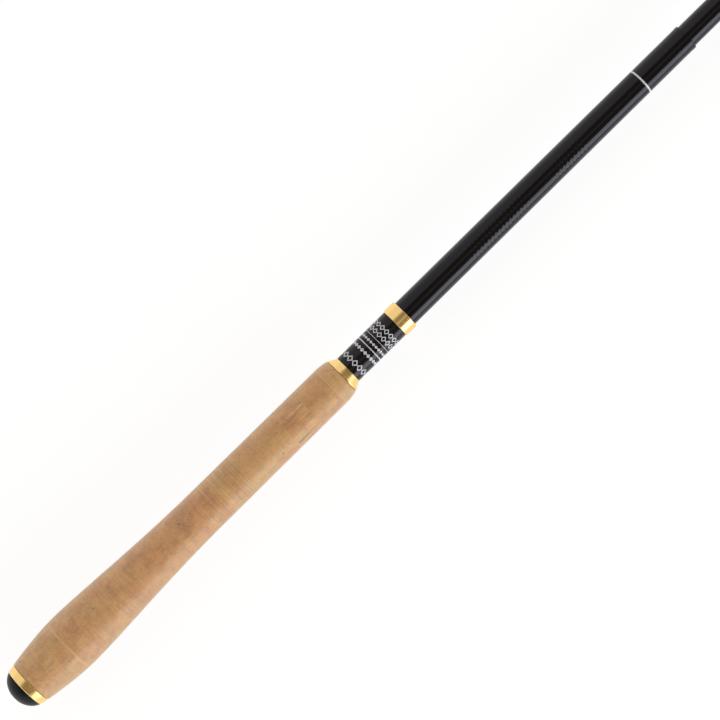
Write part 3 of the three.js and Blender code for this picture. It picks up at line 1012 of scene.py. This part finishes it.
def make_section(number, lacquer):
    """A tube on the common taper. The last section is a solid rod."""
    index = number - FIRST_SECTION_NUMBER
    front = FIRST_SECTION_MOUTH + SECTION_STEP * index
    leave = SECTION_BUTT + SECTION_OVERLAPS[index]
    is_last = index == len(SECTION_WALLS)
    rows = steps_between(SECTION_BUTT, front, SECTION_ROW)
    outline = [(place, SECTION_EXIT_RADII[index] - SLOPE * (place - leave)) for place in rows]
    if is_last:
        outline = [(SECTION_BUTT, 0), *outline, (front, 0)]
    else:
        wall = SECTION_WALLS[index]
        outline += [(front, outline[-1][1] - wall), (SECTION_BUTT, outline[0][1] - wall)]
    sides = BLANK_SIDES if index < BROAD_SECTION_COUNT else THIN_SIDES
    outline = softened(outline, SECTION_ROUND, closed=not is_last)
    node = f"section_{number:02d}"
    piece = turned(f"{node}_lacquered", outline, sides, closed=not is_last)
    fit(piece, node, SECTION_BODIES[index], "blank_lacquer", lacquer)


def make_tip_socket():
    leave = SECTION_BUTT + SECTION_OVERLAPS[-1]
    bore = SECTION_EXIT_RADII[-1] - SLOPE * (SOCKET_REAR - leave) + SOCKET_GAP
    outer = bore + SOCKET_WALL
    outline = [(SOCKET_REAR, outer)]
    for groove in SOCKET_GROOVES:
        outline += [
            (groove - GROOVE_HALF_WIDTH, outer),
            (groove - GROOVE_FLOOR_HALF_WIDTH, outer - GROOVE_DEPTH),
            (groove + GROOVE_FLOOR_HALF_WIDTH, outer - GROOVE_DEPTH),
            (groove + GROOVE_HALF_WIDTH, outer),
        ]
    outline += [(SOCKET_FRONT, outer), (SOCKET_FRONT, bore), (SOCKET_REAR, bore)]
    socket = turned("tip_cord_socket", softened(outline, SECTION_ROUND), THIN_SIDES)
    steel = machined_material("bare_stainless_steel", "#B9BABD")
    fit(socket, "tip_socket", "tip", "tip_metal", steel)


# The studio: soft light, a white floor and the camera.

def make_world():
    """A dim ceiling over the rod with a thin glint, a softbox on its -Y side, and a pale fill."""
    world = bpy.data.worlds.new("studio")
    scene.world = world
    world.use_nodes = True
    tree = world.node_tree
    tree.nodes.clear()
    ways = add_node(tree, "TexCoord").outputs["Generated"]
    parts = add_node(tree, "SeparateXYZ", {0: ways}).outputs
    side = add_node(tree, "Math", {0: parts[1], 1: -1}, operation="MULTIPLY")
    turn = add_node(tree, "Math", {0: side, 1: parts[2]}, operation="ARCTAN2")
    end = add_node(tree, "Math", {0: parts[0]}, operation="ABSOLUTE")
    ceiling = [share * CEILING_LIGHT for share in linear(CEILING_COLOR)]
    softbox_middle = [share * SOFTBOX_LIGHT for share in linear(SOFTBOX_COLOR)]
    softbox_end = [share * SOFTBOX_END_LIGHT for share in linear(SOFTBOX_COLOR)]
    fill = [FILL_LIGHT] * 4
    end_share = add_node(tree, "MapRange", {
        "Value": end,
        "From Min": MIDDLE_END - MIDDLE_END_WIDTH, "From Max": MIDDLE_END + MIDDLE_END_WIDTH,
    }, interpolation_type="SMOOTHSTEP")
    softbox = add_node(tree, "Mix", {
        "Factor": end_share, "A": softbox_middle, "B": softbox_end,
    }, data_type="RGBA")
    glint = add_node(tree, "Mix", {
        "Factor": end_share, "A": [GLINT_LIGHT] * 4, "B": ceiling,
    }, data_type="RGBA")
    light = fill
    for position, edge, width, level in (
        (turn, CEILING_FROM, LIGHT_EDGE, ceiling),
        (turn, GLINT_FROM, LIGHT_EDGE, glint),
        (turn, GLINT_TO, LIGHT_EDGE, ceiling),
        (turn, SOFTBOX_FROM, LIGHT_EDGE, softbox),
        (turn, SOFTBOX_TO, LIGHT_EDGE, fill),
        (end, STUDIO_END, STUDIO_END_WIDTH, fill),
    ):
        share = add_node(tree, "MapRange", {
            "Value": position, "From Min": edge - width, "From Max": edge + width,
        }, interpolation_type="SMOOTHSTEP")
        light = add_node(tree, "Mix", {
            "Factor": share, "A": light, "B": level,
        }, data_type="RGBA")
    background = add_node(tree, "Background", {"Color": light, "Strength": 1})
    add_node(tree, "OutputWorld", {"Surface": background})


def make_floor():
    """White paper. To the eye and in reflections it glows nearly white, less the rod's shadow."""
    half = FLOOR_SIZE / 2
    corners = [(-half, -half), (half, -half), (half, half), (-half, half)]
    mesh = bpy.data.meshes.new("floor")
    mesh.from_pydata([(x, y, -FLOOR_DROP) for x, y in corners], [], [(0, 1, 2, 3)])
    floor = bpy.data.objects.new("floor", mesh)
    scene.collection.objects.link(floor)
    material = bpy.data.materials.new("white_paper_sweep")
    material.use_nodes = True
    tree = material.node_tree
    tree.nodes.clear()
    rays = add_node(tree, "LightPath").outputs
    seen = rays["Is Camera Ray"]
    for kind in ("Is Glossy Ray", "Is Transmission Ray"):
        seen = add_node(tree, "Math", {0: seen, 1: rays[kind]}, operation="MAXIMUM")
    color = add_node(tree, "Mix", {
        "Factor": seen, "A": linear(PAPER_COLOR), "B": linear(PAPER_SEEN_COLOR),
    }, data_type="RGBA")
    paper = add_node(tree, "BsdfDiffuse", {"Color": color})
    glow_level = add_node(tree, "Math", {0: seen, 1: FLOOR_GLOW}, operation="MULTIPLY")
    glow = add_node(tree, "Emission", {"Color": linear("#FFFFFF"), "Strength": glow_level})
    surface = add_node(tree, "AddShader", {0: paper, 1: glow})
    add_node(tree, "OutputMaterial", {"Surface": surface})
    mesh.materials.append(material)


def make_camera():
    """The camera stands over the grip, a little behind the middle of its frame."""
    data = bpy.data.cameras.new("camera")
    data.sensor_width = SENSOR_WIDTH
    data.lens = SENSOR_WIDTH * CAMERA_DISTANCE / FRAME_WIDTH
    data.clip_end = FARTHEST_SEEN
    camera = bpy.data.objects.new("camera", data)
    scene.collection.objects.link(camera)
    scene.camera = camera
    aim = Vector((AIM_PLACE - OVERALL_LENGTH / 2, AIM_SIDE, AXIS_HEIGHT)) * MM
    back = CAMERA_PLACE - AIM_PLACE
    rise = math.sqrt(CAMERA_DISTANCE ** 2 - back ** 2)
    toward_camera = Vector((back, 0, rise)).normalized()
    along = Vector((1, 0, 0))
    along = (along - toward_camera * along.dot(toward_camera)).normalized()
    across = toward_camera.cross(along)
    right = along * math.cos(ROD_TILT) - across * math.sin(ROD_TILT)
    up = along * math.sin(ROD_TILT) + across * math.cos(ROD_TILT)
    turn = Matrix((right, up, toward_camera)).transposed().to_4x4()
    camera.matrix_world = Matrix.Translation(aim + toward_camera * CAMERA_DISTANCE * MM) @ turn


gold = gold_material()
make_cap()
make_seal()
make_cushion()
make_butt_ring(gold)
make_insert()
make_grip()
make_check(gold)
make_sleeve()
make_trim_ring(gold)
lacquer = lacquer_material()[0]
make_handle_blank(lacquer)
for section_index in range(len(SECTION_BODIES)):
    make_section(FIRST_SECTION_NUMBER + section_index, lacquer)
make_tip_socket()
make_world()
make_floor()
make_camera()

scene.view_settings.view_transform = "Standard"
